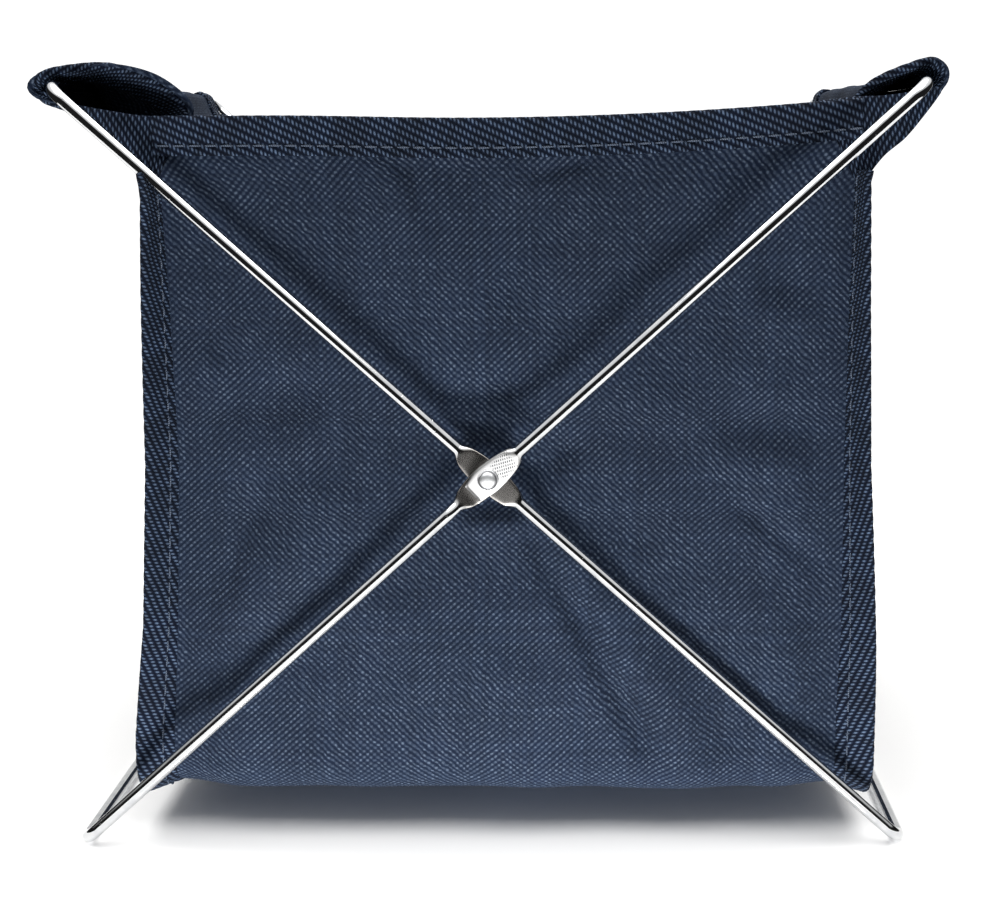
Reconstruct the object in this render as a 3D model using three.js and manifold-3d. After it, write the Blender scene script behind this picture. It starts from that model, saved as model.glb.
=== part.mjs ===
// A collapsible fabric storage bin: two sprung wire loops cross as an X and are
// riveted where they cross, front and rear, and an open-topped cloth bag hangs
// on their two top rails by sleeves. Millimetres, +Z up, front at -Y.
// The origin is the middle of the footprint, on the surface that the bin stands on.

import * as THREE from 'three';
import { mergeVertices } from 'three/addons/utils/BufferGeometryUtils.js';
import Module from 'manifold-3d';

const wasm = await Module();
wasm.setup();

// Wire frame
const WIRE_RADIUS = 1.75;
const WIRE_SIDES = 12;
const RAIL_SPAN = 225; // between the two top rails, and between the two bottom rails
const RAIL_RISE = 204; // from the bottom rails up to the top rails
const LOOP_DEPTH = 200; // between the two legs of one loop
const LEG_STAGGER = 1.9; // each loop stands this far out of the middle, so that the legs pass
const BEND_RADIUS = 5;
const BEND_STEPS = 4;

// Flattened and pierced crossings
const FLAT_THICKNESS = 1.3;
const FLAT_WIDTH = 7.4;
const FLAT_GAP = 0.3; // between stacked flats
const FLAT_TAPER_START = 12.5; // from the rivet to where the wire is round again
const FLAT_SHOULDER = 6; // from the rivet to where the flat is at its full width
const FLAT_OVERHANG = 4.4; // from the rivet to a wire's cut end
const FLAT_END_WIDTH = 5.8;
const RIVET_HOLE_RADIUS = 1.8;

// Rivets
const RIVET_SHANK_RADIUS = 1.4;
const RIVET_HEAD_RADIUS = 2.9;
const RIVET_HEAD_HEIGHT = 1.25;
const RIVET_RIM_HEIGHT = 0.5;
const RIVET_TAIL_RADIUS = 2.5;
const RIVET_TAIL_HEIGHT = 0.9;
const RIVET_SIDES = 24;

// Bag
const CLOTH = 1.2; // the cloth's solids are thicker than cloth, to carry collision
const BAG_LEFT = -90; // plane of the left side wall
const BAG_RIGHT = 96.5; // plane of the right side wall
const BAG_HALF_DEPTH = 92; // outer faces of the front and rear walls
const BAG_BOTTOM = 12;
const BAG_TOP = 199;
const BAG_FOLD_RADIUS = 9; // soft folds along the front and rear of the bottom
const SEAM_GAP = 0.4;

// Binding tape
const TAPE_WIDTH = 10; // half of a 20 mm tape, folded over the edge that it binds
const TAPE_THICKNESS = 0.7;

// Sleeves that carry the bag on the top rails
const SLEEVE_END = 89.2; // half the length of a sleeve with its bound ends
const SLEEVE_LIFT = 6.5; // from the rail's middle up to the crown of the sleeve
const SLEEVE_HOLD = 3.4; // from the rail's middle out to the cloth that wraps it
const SLEEVE_JOIN = 182; // height where the sleeve leaves the side wall
const LEFT_SLEEVE_REACH = 34; // from the rail inboard to the sleeve's inner fold
const RIGHT_SLEEVE_REACH = 24;
const SLEEVE_POINTS = 36;

const RAIL_X = RAIL_SPAN / 2;
const PIVOT_Z = WIRE_RADIUS + RAIL_RISE / 2;
const TOP_RAIL_Z = WIRE_RADIUS + RAIL_RISE;
const LEG_HALF = Math.hypot(RAIL_X, RAIL_RISE / 2);
const LEG_TILT = Math.atan2(RAIL_X, RAIL_RISE / 2);

// Distances from the bin's middle plane to the middles of the three flats at a crossing:
// a loop's two cut ends outside, the other loop's unbroken leg inside.
const FLAT_PITCH = FLAT_THICKNESS + FLAT_GAP;
const INNER_LEG = LOOP_DEPTH / 2 - LEG_STAGGER;
const OUTER_LEG = LOOP_DEPTH / 2 + LEG_STAGGER;
const INNER_FLAT = INNER_LEG + WIRE_RADIUS - FLAT_THICKNESS / 2;
const LOWER_END_FLAT = INNER_FLAT + FLAT_PITCH;
const UPPER_END_FLAT = LOWER_END_FLAT + FLAT_PITCH;

const chrome = () => new THREE.MeshStandardMaterial({ color: 0xd6d8da, roughness: 0.12, metalness: 1 });
const cloth = () => new THREE.MeshStandardMaterial({ color: 0x2b3a50, roughness: 0.85, metalness: 0 });
const tape = () => new THREE.MeshStandardMaterial({ color: 0x222f42, roughness: 0.8, metalness: 0 });

// --- Solids -----------------------------------------------------------------

function toManifold(geometry) {
  const bare = geometry.clone();
  bare.deleteAttribute('normal');
  bare.deleteAttribute('uv');
  const merged = mergeVertices(bare, 1e-5);
  return new wasm.Manifold(new wasm.Mesh({
    numProp: 3,
    vertProperties: new Float32Array(merged.attributes.position.array),
    triVerts: new Uint32Array(merged.index.array),
  }));
}

function fromManifold(solid) {
  const { vertProperties, triVerts } = solid.getMesh();
  const geometry = new THREE.BufferGeometry();
  geometry.setAttribute('position', new THREE.BufferAttribute(new Float32Array(vertProperties), 3));
  geometry.setIndex(new THREE.BufferAttribute(new Uint32Array(triVerts), 1));
  return geometry;
}

function named(name, geometry, material) {
  const mesh = new THREE.Mesh(geometry, material);
  mesh.name = name;
  return mesh;
}

function extrude(shape, depth) {
  return new THREE.ExtrudeGeometry(shape, { depth, bevelEnabled: false, curveSegments: 6 });
}

// Extrudes an outline drawn in X and Z along Y, from y0 to y1.
function extrudeAlongY(shape, y0, y1) {
  const geometry = extrude(shape, y1 - y0);
  geometry.rotateX(Math.PI / 2);
  return geometry.translate(0, y1, 0);
}

// Extrudes an outline drawn in Y and Z along X, from x0 to x1.
function extrudeAlongX(shape, x0, x1) {
  const geometry = extrude(shape, x1 - x0);
  geometry.rotateX(Math.PI / 2);
  geometry.rotateZ(Math.PI / 2);
  return geometry.translate(x0, 0, 0);
}

// Joins a row of equal rings of points into one closed solid with flat ends.
function loft(rings) {
  const sides = rings[0].length;
  const positions = rings.flat().flatMap((p) => [p.x, p.y, p.z]);
  const index = [];
  for (let r = 0; r < rings.length - 1; r += 1) {
    for (let s = 0; s < sides; s += 1) {
      const a = r * sides + s;
      const b = r * sides + ((s + 1) % sides);
      index.push(a, a + sides, b, b, a + sides, b + sides);
    }
  }
  const last = (rings.length - 1) * sides;
  for (let s = 1; s < sides - 1; s += 1) {
    index.push(0, s, s + 1, last, last + s + 1, last + s);
  }
  const geometry = new THREE.BufferGeometry();
  geometry.setAttribute('position', new THREE.Float32BufferAttribute(positions, 3));
  geometry.setIndex(index);
  return geometry;
}

// --- Wire loops -------------------------------------------------------------

// The wire's section at one station. `across` is the section's direction in the loop's
// plane and `normal` is the plane's normal. A pressed flat is thin across and wide along
// the normal, and `power` under 1 squares its corners.
function section(centre, across, normal, halfAcross, halfNormal, power = 1) {
  const squared = (value) => Math.sign(value) * Math.abs(value) ** power;
  const ring = [];
  for (let k = 0; k < WIRE_SIDES; k += 1) {
    const angle = FACET_TURN + (2 * Math.PI * (k + 0.5)) / WIRE_SIDES;
    ring.push(centre.clone()
      .addScaledVector(across, halfAcross * squared(Math.cos(angle)))
      .addScaledVector(normal, halfNormal * squared(Math.sin(angle))));
  }
  return ring;
}

// The radius to the section's corners, so that its facets lie on the wire's radius, and the
// turn of the section that lays one facet of each bottom rail flat on the floor.
const CORNER_RADIUS = WIRE_RADIUS / Math.cos(Math.PI / WIRE_SIDES);
const FACET_TURN = -LEG_TILT;
const FLAT_POWER = 0.45;

// A loop lies in the plane of `up` (along its legs) and Y. The wire starts at its upper
// cut end, past the rivet, and goes up, over the top rail, down the unbroken rear leg,
// under the bottom rail and back up to its lower cut end.
function wireLoopRings() {
  const up = new THREE.Vector3(Math.sin(LEG_TILT), 0, Math.cos(LEG_TILT));
  const depth = new THREE.Vector3(0, 1, 0);
  const normal = new THREE.Vector3(Math.cos(LEG_TILT), 0, -Math.sin(LEG_TILT));
  const pivot = new THREE.Vector3(0, 0, PIVOT_Z);
  const at = (along, y) => pivot.clone().addScaledVector(up, along).setY(y);
  const rings = [];

  // One station on a leg. `flat` goes from 0, round wire, to 1, pressed flat.
  const legStation = (along, legY, flatY, flat, width, inward) => {
    const y = THREE.MathUtils.lerp(legY, flatY, flat);
    const halfAcross = THREE.MathUtils.lerp(CORNER_RADIUS, FLAT_THICKNESS / 2, flat);
    const halfNormal = flat > 0 ? width / 2 : CORNER_RADIUS;
    rings.push(section(at(along, y), inward, normal, halfAcross, halfNormal, flat > 0 ? FLAT_POWER : 1));
  };

  const bend = (cornerAlong, cornerY, from, to) => {
    const centre = at(cornerAlong, cornerY)
      .addScaledVector(from, -BEND_RADIUS)
      .addScaledVector(to, BEND_RADIUS);
    for (let step = 0; step <= BEND_STEPS; step += 1) {
      const angle = (Math.PI / 2) * (step / BEND_STEPS);
      const outward = to.clone().multiplyScalar(-Math.cos(angle)).addScaledVector(from, Math.sin(angle));
      const centreLine = centre.clone().addScaledVector(outward, BEND_RADIUS);
      rings.push(section(centreLine, outward.negate(), normal, CORNER_RADIUS, CORNER_RADIUS));
    }
  };

  const down = up.clone().negate();
  const forward = depth.clone().negate();
  const front = -OUTER_LEG;
  const rear = INNER_LEG;

  legStation(-FLAT_OVERHANG, front, -UPPER_END_FLAT, 1, FLAT_END_WIDTH, depth);
  legStation(FLAT_SHOULDER, front, -UPPER_END_FLAT, 1, FLAT_WIDTH, depth);
  legStation(FLAT_TAPER_START, front, -UPPER_END_FLAT, 0, 0, depth);
  bend(LEG_HALF, front, up, depth);
  bend(LEG_HALF, rear, depth, down);
  legStation(FLAT_TAPER_START, rear, INNER_FLAT, 0, 0, forward);
  legStation(FLAT_SHOULDER, rear, INNER_FLAT, 1, FLAT_WIDTH, forward);
  legStation(-FLAT_SHOULDER, rear, INNER_FLAT, 1, FLAT_WIDTH, forward);
  legStation(-FLAT_TAPER_START, rear, INNER_FLAT, 0, 0, forward);
  bend(-LEG_HALF, rear, down, forward);
  bend(-LEG_HALF, front, forward, up);
  legStation(-FLAT_TAPER_START, front, -LOWER_END_FLAT, 0, 0, depth);
  legStation(-FLAT_SHOULDER, front, -LOWER_END_FLAT, 1, FLAT_WIDTH, depth);
  legStation(FLAT_OVERHANG, front, -LOWER_END_FLAT, 1, FLAT_END_WIDTH, depth);
  return rings;
}

function wireLoop() {
  const reach = 2 * (OUTER_LEG + 2 * WIRE_RADIUS);
  const drill = new THREE.CylinderGeometry(RIVET_HOLE_RADIUS, RIVET_HOLE_RADIUS, reach, RIVET_SIDES);
  drill.translate(0, 0, PIVOT_Z);
  return fromManifold(toManifold(loft(wireLoopRings())).subtract(toManifold(drill)));
}

// --- Rivets -----------------------------------------------------------------

// A rivet turned about the Y axis, drawn for the front: domed head out, tail towards the bag.
function rivet() {
  const headBase = UPPER_END_FLAT + FLAT_THICKNESS / 2 + FLAT_GAP;
  const tailBase = INNER_FLAT - FLAT_THICKNESS / 2 - FLAT_GAP;
  const profile = [
    new THREE.Vector2(0, tailBase - RIVET_TAIL_HEIGHT),
    new THREE.Vector2(RIVET_TAIL_RADIUS * 0.8, tailBase - RIVET_TAIL_HEIGHT),
    new THREE.Vector2(RIVET_TAIL_RADIUS, tailBase - RIVET_TAIL_HEIGHT * 0.6),
    new THREE.Vector2(RIVET_TAIL_RADIUS, tailBase),
    new THREE.Vector2(RIVET_SHANK_RADIUS, tailBase),
    new THREE.Vector2(RIVET_SHANK_RADIUS, headBase),
    new THREE.Vector2(RIVET_HEAD_RADIUS, headBase),
    new THREE.Vector2(RIVET_HEAD_RADIUS, headBase + RIVET_RIM_HEIGHT),
    new THREE.Vector2(RIVET_HEAD_RADIUS * 0.7, headBase + RIVET_HEAD_HEIGHT * 0.85),
    new THREE.Vector2(RIVET_HEAD_RADIUS * 0.35, headBase + RIVET_HEAD_HEIGHT),
    new THREE.Vector2(0, headBase + RIVET_HEAD_HEIGHT),
  ];
  return new THREE.LatheGeometry(profile, RIVET_SIDES);
}

function placedRivet(name, facing) {
  const mesh = named(name, rivet(), chrome());
  mesh.position.set(0, 0, PIVOT_Z);
  mesh.rotation.x = facing === 'front' ? Math.PI : 0;
  return mesh;
}

// --- Bag --------------------------------------------------------------------

// A band in Y and Z that goes down the front, round under and up the rear, between an outer
// and an inner line. Each line has its half depth, its lowest height and its corner radius.
function uBand(outer, inner, top) {
  const shape = new THREE.Shape();
  const corner = (line, side, from, to) => {
    const y = side * (line.half - line.radius);
    shape.absarc(y, line.low + line.radius, line.radius, from, to, to < from);
  };
  shape.moveTo(-outer.half, top);
  shape.lineTo(-outer.half, outer.low + outer.radius);
  corner(outer, -1, Math.PI, 1.5 * Math.PI);
  corner(outer, 1, 1.5 * Math.PI, 2 * Math.PI);
  shape.lineTo(outer.half, top);
  shape.lineTo(inner.half, top);
  corner(inner, 1, 2 * Math.PI, 1.5 * Math.PI);
  corner(inner, -1, 1.5 * Math.PI, Math.PI);
  shape.lineTo(-inner.half, top);
  shape.closePath();
  return shape;
}

// A line of a band, moved in from the bag's outer faces by `inset`.
function bagLine(inset, radius) {
  return { half: BAG_HALF_DEPTH - inset, low: BAG_BOTTOM + inset, radius };
}

// One strip of cloth makes the front wall, the bottom and the rear wall.
function bodyPanel() {
  const shape = uBand(bagLine(0, BAG_FOLD_RADIUS), bagLine(CLOTH, BAG_FOLD_RADIUS - CLOTH), BAG_TOP);
  const side = CLOTH / 2 + SEAM_GAP;
  return extrudeAlongX(shape, BAG_LEFT + side, BAG_RIGHT - side);
}

// The tape that binds the front wall's top edge, folded over it; `side` is -1 in front, 1 behind.
function hemTape(side) {
  const inner = BAG_HALF_DEPTH - CLOTH - SEAM_GAP;
  const outer = BAG_HALF_DEPTH + SEAM_GAP;
  const crest = BAG_TOP + SEAM_GAP;
  const low = crest + TAPE_THICKNESS - TAPE_WIDTH;
  const shape = new THREE.Shape([
    [inner - TAPE_THICKNESS, low],
    [inner, low],
    [inner, crest],
    [outer, crest],
    [outer, low],
    [outer + TAPE_THICKNESS, low],
    [outer + TAPE_THICKNESS, crest + TAPE_THICKNESS],
    [inner - TAPE_THICKNESS, crest + TAPE_THICKNESS],
  ].map(([y, z]) => new THREE.Vector2(side * y, z)));
  const end = CLOTH / 2 + SEAM_GAP;
  return extrudeAlongX(shape, BAG_LEFT + end, BAG_RIGHT - end);
}

// The middle line of a sleeve's cloth in X and Z, for the left rail: from the side wall
// out under the rail, round it, over the crown and back in to the wall.
function sleeveLine(wall, reach) {
  const inboard = -RAIL_X + reach;
  const points = [
    [wall, SLEEVE_JOIN],
    [(wall - RAIL_X) / 2 - 2, (SLEEVE_JOIN + TOP_RAIL_Z) / 2 - 2.5],
    [-RAIL_X - 0.5 * SLEEVE_HOLD, TOP_RAIL_Z - 0.85 * SLEEVE_HOLD],
    [-RAIL_X - SLEEVE_HOLD, TOP_RAIL_Z + 0.2 * SLEEVE_HOLD],
    [-RAIL_X - 0.4 * SLEEVE_HOLD, TOP_RAIL_Z + 1.1 * SLEEVE_HOLD],
    [-RAIL_X + 0.4 * reach, TOP_RAIL_Z + SLEEVE_LIFT],
    [-RAIL_X + 0.8 * reach, TOP_RAIL_Z + 0.3 * SLEEVE_LIFT],
    [inboard, TOP_RAIL_Z - 6],
    [(wall + inboard) / 2 + 2, (SLEEVE_JOIN + TOP_RAIL_Z) / 2 - 4],
  ];
  const knots = points.map(([x, z]) => new THREE.Vector3(x, z, 0));
  const curve = new THREE.CatmullRomCurve3(knots, true, 'centripetal');
  return curve.getSpacedPoints(SLEEVE_POINTS).slice(0, SLEEVE_POINTS).reverse();
}

// A ring of cloth of the given thickness about a closed middle line, extruded along Y.
function sleeveRing(line, thickness, y0, y1) {
  const offset = (distance) => line.map((p, i) => {
    const before = line[(i + line.length - 1) % line.length];
    const after = line[(i + 1) % line.length];
    const along = new THREE.Vector2(after.x - before.x, after.y - before.y).normalize();
    return new THREE.Vector2(p.x + distance * along.y, p.y - distance * along.x);
  });
  const shape = new THREE.Shape(offset(thickness / 2));
  shape.holes.push(new THREE.Path(offset(-thickness / 2)));
  return extrudeAlongY(shape, y0, y1);
}

// A side wall whose upper edge is turned over the rail as a sleeve, for the left side. The
// wall stops short of the sleeve's bound ends, which its tapes cover.
function sidePanel(wall, reach) {
  const half = BAG_HALF_DEPTH - CLOTH - TAPE_THICKNESS;
  const end = SLEEVE_END - TAPE_WIDTH - SEAM_GAP;
  const shoulder = SLEEVE_JOIN - CLOTH - TAPE_THICKNESS;
  const outline = new THREE.Shape([
    [-half, BAG_BOTTOM + BAG_FOLD_RADIUS],
    [-half + BAG_FOLD_RADIUS, BAG_BOTTOM + CLOTH + TAPE_THICKNESS],
    [half - BAG_FOLD_RADIUS, BAG_BOTTOM + CLOTH + TAPE_THICKNESS],
    [half, BAG_BOTTOM + BAG_FOLD_RADIUS],
    [half, shoulder],
    [end, shoulder],
    [end, SLEEVE_JOIN],
    [-end, SLEEVE_JOIN],
    [-end, shoulder],
    [-half, shoulder],
  ].map(([y, z]) => new THREE.Vector2(y, z)));
  const sheet = extrudeAlongX(outline, wall - CLOTH / 2, wall + CLOTH / 2);
  const sleeve = sleeveRing(sleeveLine(wall, reach), CLOTH, -end, end);
  return fromManifold(toManifold(sheet).add(toManifold(sleeve)));
}

// The tape that binds a side wall's seam, down the front, under and up the rear; it stands
// out from the side wall as a flange.
function seamTape(wall) {
  const outer = bagLine(CLOTH / 2 - TAPE_THICKNESS, BAG_FOLD_RADIUS + TAPE_THICKNESS);
  const inner = bagLine(CLOTH / 2 + TAPE_THICKNESS, BAG_FOLD_RADIUS - TAPE_THICKNESS);
  const edge = wall - CLOTH / 2 - SEAM_GAP;
  const top = SLEEVE_JOIN - CLOTH - TAPE_THICKNESS;
  return extrudeAlongX(uBand(outer, inner, top), edge - TAPE_WIDTH, edge);
}

// The tape that binds one end of a sleeve; `end` is -1 in front, 1 behind.
function sleeveTape(wall, reach, end) {
  const thickness = CLOTH + TAPE_THICKNESS;
  const outer = end * SLEEVE_END;
  const inner = end * (SLEEVE_END - TAPE_WIDTH);
  return sleeveRing(sleeveLine(wall, reach), thickness, Math.min(outer, inner), Math.max(outer, inner));
}

// Turns a piece drawn for the left side into the right side's, keeping its faces outward.
function mirrored(geometry) {
  const plain = geometry.index ? geometry.toNonIndexed() : geometry.clone();
  plain.scale(-1, 1, 1);
  const position = plain.attributes.position;
  for (let i = 0; i < position.count; i += 3) {
    const [x, y, z] = [position.getX(i), position.getY(i), position.getZ(i)];
    position.setXYZ(i, position.getX(i + 1), position.getY(i + 1), position.getZ(i + 1));
    position.setXYZ(i + 1, x, y, z);
  }
  const bare = new THREE.BufferGeometry();
  bare.setAttribute('position', position);
  return bare;
}

// --- Assembly ---------------------------------------------------------------

const bin = new THREE.Group();

const loopA = named('wire_loop_a', wireLoop(), chrome());
const loopB = named('wire_loop_b', wireLoop(), chrome());
loopB.rotation.z = Math.PI;
bin.add(loopA, loopB);
bin.add(placedRivet('front_rivet', 'front'), placedRivet('rear_rivet', 'rear'));

bin.add(named('body_panel', bodyPanel(), cloth()));
bin.add(named('front_hem_tape', hemTape(-1), tape()));
bin.add(named('rear_hem_tape', hemTape(1), tape()));

const sides = [
  { side: 'left', wall: BAG_LEFT, reach: LEFT_SLEEVE_REACH, place: (geometry) => geometry },
  { side: 'right', wall: -BAG_RIGHT, reach: RIGHT_SLEEVE_REACH, place: mirrored },
];
for (const { side, wall, reach, place } of sides) {
  bin.add(named(`${side}_side_panel`, place(sidePanel(wall, reach)), cloth()));
  bin.add(named(`${side}_seam_tape`, place(seamTape(wall)), tape()));
  bin.add(named(`${side}_front_sleeve_tape`, place(sleeveTape(wall, reach, -1)), tape()));
  bin.add(named(`${side}_rear_sleeve_tape`, place(sleeveTape(wall, reach, 1)), tape()));
}

export default bin;
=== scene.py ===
"""A collapsible fabric storage bin: the cloth bag, its bindings and the chromed wire frame."""

import math

import bpy
import numpy as np
from mathutils import Matrix, Vector


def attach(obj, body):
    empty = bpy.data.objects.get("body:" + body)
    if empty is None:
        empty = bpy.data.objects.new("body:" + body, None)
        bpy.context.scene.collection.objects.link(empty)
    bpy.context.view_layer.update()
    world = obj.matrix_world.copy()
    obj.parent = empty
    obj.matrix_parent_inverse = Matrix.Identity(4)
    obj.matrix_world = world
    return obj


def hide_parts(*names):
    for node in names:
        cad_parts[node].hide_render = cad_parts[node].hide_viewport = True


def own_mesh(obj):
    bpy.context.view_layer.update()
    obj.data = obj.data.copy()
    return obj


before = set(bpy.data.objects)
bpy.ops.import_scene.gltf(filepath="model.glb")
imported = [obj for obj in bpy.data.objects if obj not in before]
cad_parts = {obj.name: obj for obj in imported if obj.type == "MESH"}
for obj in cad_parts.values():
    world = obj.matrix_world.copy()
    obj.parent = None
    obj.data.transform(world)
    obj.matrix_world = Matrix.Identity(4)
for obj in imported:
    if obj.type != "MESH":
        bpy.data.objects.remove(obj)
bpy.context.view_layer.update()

# Shapes are drawn in millimetres and stored in metres.
MM = 0.001
PI = math.pi

# The wire frame
WIRE_RADIUS = 1.75
RAIL_X = 112.5
PIVOT_Z = 103.75
INNER_LEG = 98.1
OUTER_LEG = 101.9
LEG_HALF = math.hypot(RAIL_X, 102.0)
LEG_TILT = math.atan2(RAIL_X, 102.0)
BEND_RADIUS = 5.0
FLAT_THICKNESS = 1.3
INNER_FLAT = 99.2
LOWER_END_FLAT = 100.8
UPPER_END_FLAT = 102.4
SPRING = 0.35  # how far the outermost flat stands off the rivet's stack
FLAT_HALF = 3.95
FLAT_REACH = 10.8  # from the rivet to where a flat has run out into the wire
CUT_HALF = 2.7
CUT_REACH = 5.6  # from the rivet to a cut end
RUN_OUT = (7, 13)  # from the rivet, where a flat's face slopes to the wire's
LOWER_RUN_OUT = (6.5, 15)

# The bag
CLOTH = 0.55
WALL_Y = 91.4  # middle of the front and rear walls' cloth
FLOOR_Z = 12.9  # middle of the bottom's cloth
FOLD_RADIUS = 11.0
HEM_Z = 196.7  # lowest point of the front and rear walls' upper edges
HEM_ENDS = (-87.6, 97.4)
SLEEVE_JOIN = 182.0
SLEEVE_END = 89.8
TAPE_WIDTH = 10.0
TAPE_FOLD = 2.0  # thickness of a tape folded over the cloth
TAPE_ROWS = (0.247, 0.500)  # cycles to the millimetre, along and across, of the tape's slanting rows
TAPE_FLOATS = (0.815, -0.245)  # and of the floats in a row
TAPE_STEP = 0.55  # between a tape's points
TAPE_RELIEF = 0.16
THREAD_SIZE = 0.55
STITCH_PITCH = 4.2
STITCH_LENGTH = 3.1
CORNER_LAP = 1.2  # how far the side walls reach past a sleeve's end, so that the corners are closed
FLARE = 4.0  # how much wider the front and rear walls are at the top, to each side
HANDS = {-1: "left", 1: "right"}
ENDS = {-1: "front", 1: "rear"}


def smooth(low, high, x):
    t = np.clip((np.asarray(x, float) - low) / (high - low), 0, 1)
    return t * t * (3 - 2 * t)


def lerp(a, b, t):
    return a + (b - a) * t


def through(points, count):
    """Points spaced evenly along a smooth curve through the given ones."""
    p = np.asarray(points, float)
    ends = np.vstack([2 * p[0] - p[1], p, 2 * p[-1] - p[-2]])
    t = np.linspace(0, 1, 25)[:-1, None]
    spans = []
    for i in range(len(p) - 1):
        a, b, c, d = ends[i : i + 4]
        spans.append(
            0.5 * (2 * b + (c - a) * t + (2 * a - 5 * b + 4 * c - d) * t**2 + (3 * b - a - 3 * c + d) * t**3)
        )
    dense = np.vstack(spans + [p[-1:]])
    run = np.concatenate([[0], np.cumsum(np.linalg.norm(np.diff(dense, axis=0), axis=1))])
    at = np.linspace(0, run[-1], count)
    return np.stack([np.interp(at, run, dense[:, k]) for k in range(dense.shape[1])], axis=1)


def lengths(points):
    """Distance along a row of points."""
    return np.concatenate([[0], np.cumsum(np.linalg.norm(np.diff(points, axis=0), axis=1))])


# --- Meshes -------------------------------------------------------------------


def into_scene(name, data):
    """A new object in the scene."""
    obj = bpy.data.objects.new(name, data)
    bpy.context.scene.collection.objects.link(obj)
    return obj


def make(name, vertices, faces, uvs, material):
    """A smooth-shaded object from points in millimetres, with one UV pair for each face corner."""
    mesh = bpy.data.meshes.new(name)
    mesh.from_pydata((np.asarray(vertices, float) * MM).tolist(), [], faces)
    layer = mesh.uv_layers.new(name="cloth")
    layer.data.foreach_set("uv", np.asarray(uvs, np.float32).ravel())
    mesh.materials.append(material)
    mesh.polygons.foreach_set("use_smooth", [True] * len(faces))
    mesh.update()
    return into_scene(name, mesh)


def surface(name, points, material, uv, tube=False):
    """A grid of points as quads, with a UV pair for each point. A tube is closed round its rows
    and capped at both ends, and has one more pair to each row, for the way back to its start."""
    nu, nv = points.shape[:2]
    a, b = np.meshgrid(np.arange(nu - 1), np.arange(nv if tube else nv - 1), indexing="ij")
    a, b = a.ravel(), b.ravel()
    a1, b1 = a + 1, (b + 1) % nv
    quads = np.stack([a * nv + b, a1 * nv + b, a1 * nv + b1, a * nv + b1], axis=1)
    corners = np.stack([uv[a, b], uv[a + 1, b], uv[a + 1, b + 1], uv[a, b + 1]], axis=1)
    faces = quads.tolist()
    corners = corners.reshape(-1, 2)
    if tube:
        last = (nu - 1) * nv
        faces += [list(range(nv - 1, -1, -1)), list(range(last, last + nv))]
        corners = np.vstack([corners, uv[0, :nv][::-1], uv[-1, :nv]])
    return make(name, points.reshape(-1, 3), faces, corners, material)


def grid_uv(points, tube=False):
    """UVs in millimetres from the distances along the middle row and column of a grid."""
    nu, nv = points.shape[:2]
    along = points[:, nv // 2]
    across = np.vstack([points[nu // 2], points[nu // 2, :1]]) if tube else points[nu // 2]
    u, v = np.meshgrid(lengths(along), lengths(across), indexing="ij")
    return np.stack([u, v], axis=2)


def thicken(obj, thickness):
    """Gives a sheet its thickness, to both sides of its middle."""
    solid = obj.modifiers.new("thickness", "SOLIDIFY")
    solid.thickness = thickness * MM
    solid.offset = 0
    graph = bpy.context.evaluated_depsgraph_get()
    mesh = bpy.data.meshes.new_from_object(obj.evaluated_get(graph))
    obj.modifiers.clear()
    obj.data = mesh


# --- Materials ----------------------------------------------------------------


class Graph:
    """A material's nodes, made by short calls."""

    def __init__(self, name):
        self.material = bpy.data.materials.new(name)
        self.material.use_nodes = True
        self.tree = self.material.node_tree
        self.shader = self.tree.nodes["Principled BSDF"]

    def put(self, socket, value):
        if isinstance(value, bpy.types.NodeSocket):
            self.tree.links.new(value, socket)
        else:
            socket.default_value = value

    def node(self, kind, inputs, **settings):
        made = self.tree.nodes.new(kind)
        for key, value in settings.items():
            setattr(made, key, value)
        for key, value in inputs.items():
            self.put(made.inputs[key], value)
        return made

    def math(self, operation, *values):
        made = self.tree.nodes.new("ShaderNodeMath")
        made.operation = operation
        for socket, value in zip(made.inputs, values, strict=False):
            self.put(socket, value)
        return made.outputs[0]

    def plus(self, a, b):
        return self.math("ADD", a, b)

    def minus(self, a, b):
        return self.math("SUBTRACT", a, b)

    def times(self, a, b):
        return self.math("MULTIPLY", a, b)

    def times_plus(self, a, b, c):
        return self.math("MULTIPLY_ADD", a, b, c)

    def sine(self, value):
        return self.math("SINE", value)

    def size(self, value):
        return self.math("ABSOLUTE", value)

    def between(self, value, low, high, to_low=0.0, to_high=1.0):
        """A value's way from low to high, eased and limited, on a scale of its own."""
        made = self.node(
            "ShaderNodeMapRange",
            {"Value": value, "From Min": low, "From Max": high, "To Min": to_low, "To Max": to_high},
            interpolation_type="SMOOTHSTEP",
        )
        return made.outputs[0]

    def noise(self, vector, scale, detail=3.0, rough=0.55):
        made = self.node(
            "ShaderNodeTexNoise", {"Vector": vector, "Scale": scale, "Detail": detail, "Roughness": rough}
        )
        return made.outputs["Fac"]

    def mix(self, factor, a, b):
        made = self.tree.nodes.new("ShaderNodeMix")
        made.data_type = "RGBA"
        self.put(made.inputs[0], factor)
        self.put(made.inputs[6], a)
        self.put(made.inputs[7], b)
        return made.outputs[2]

    def shade(self, colour, share):
        """The colour times a share."""
        made = self.node("ShaderNodeVectorMath", {0: colour, 1: (1, 1, 1)}, operation="SCALE")
        self.put(made.inputs["Scale"], share)
        return made.outputs[0]

    def coordinates(self, output):
        source = self.tree.nodes.new("ShaderNodeTexCoord")
        return source.outputs[output]

    def split(self, vector):
        made = self.node("ShaderNodeSeparateXYZ", {0: vector})
        return made.outputs[0], made.outputs[1], made.outputs[2]

    def set_input(self, name, value):
        """Sets one of the surface shader's inputs, or links it."""
        self.put(self.shader.inputs[name], value)

    def bump(self, height, depth):
        made = self.node("ShaderNodeBump", {"Height": height, "Distance": depth * MM, "Strength": 1.0})
        self.set_input("Normal", made.outputs[0])


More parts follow.
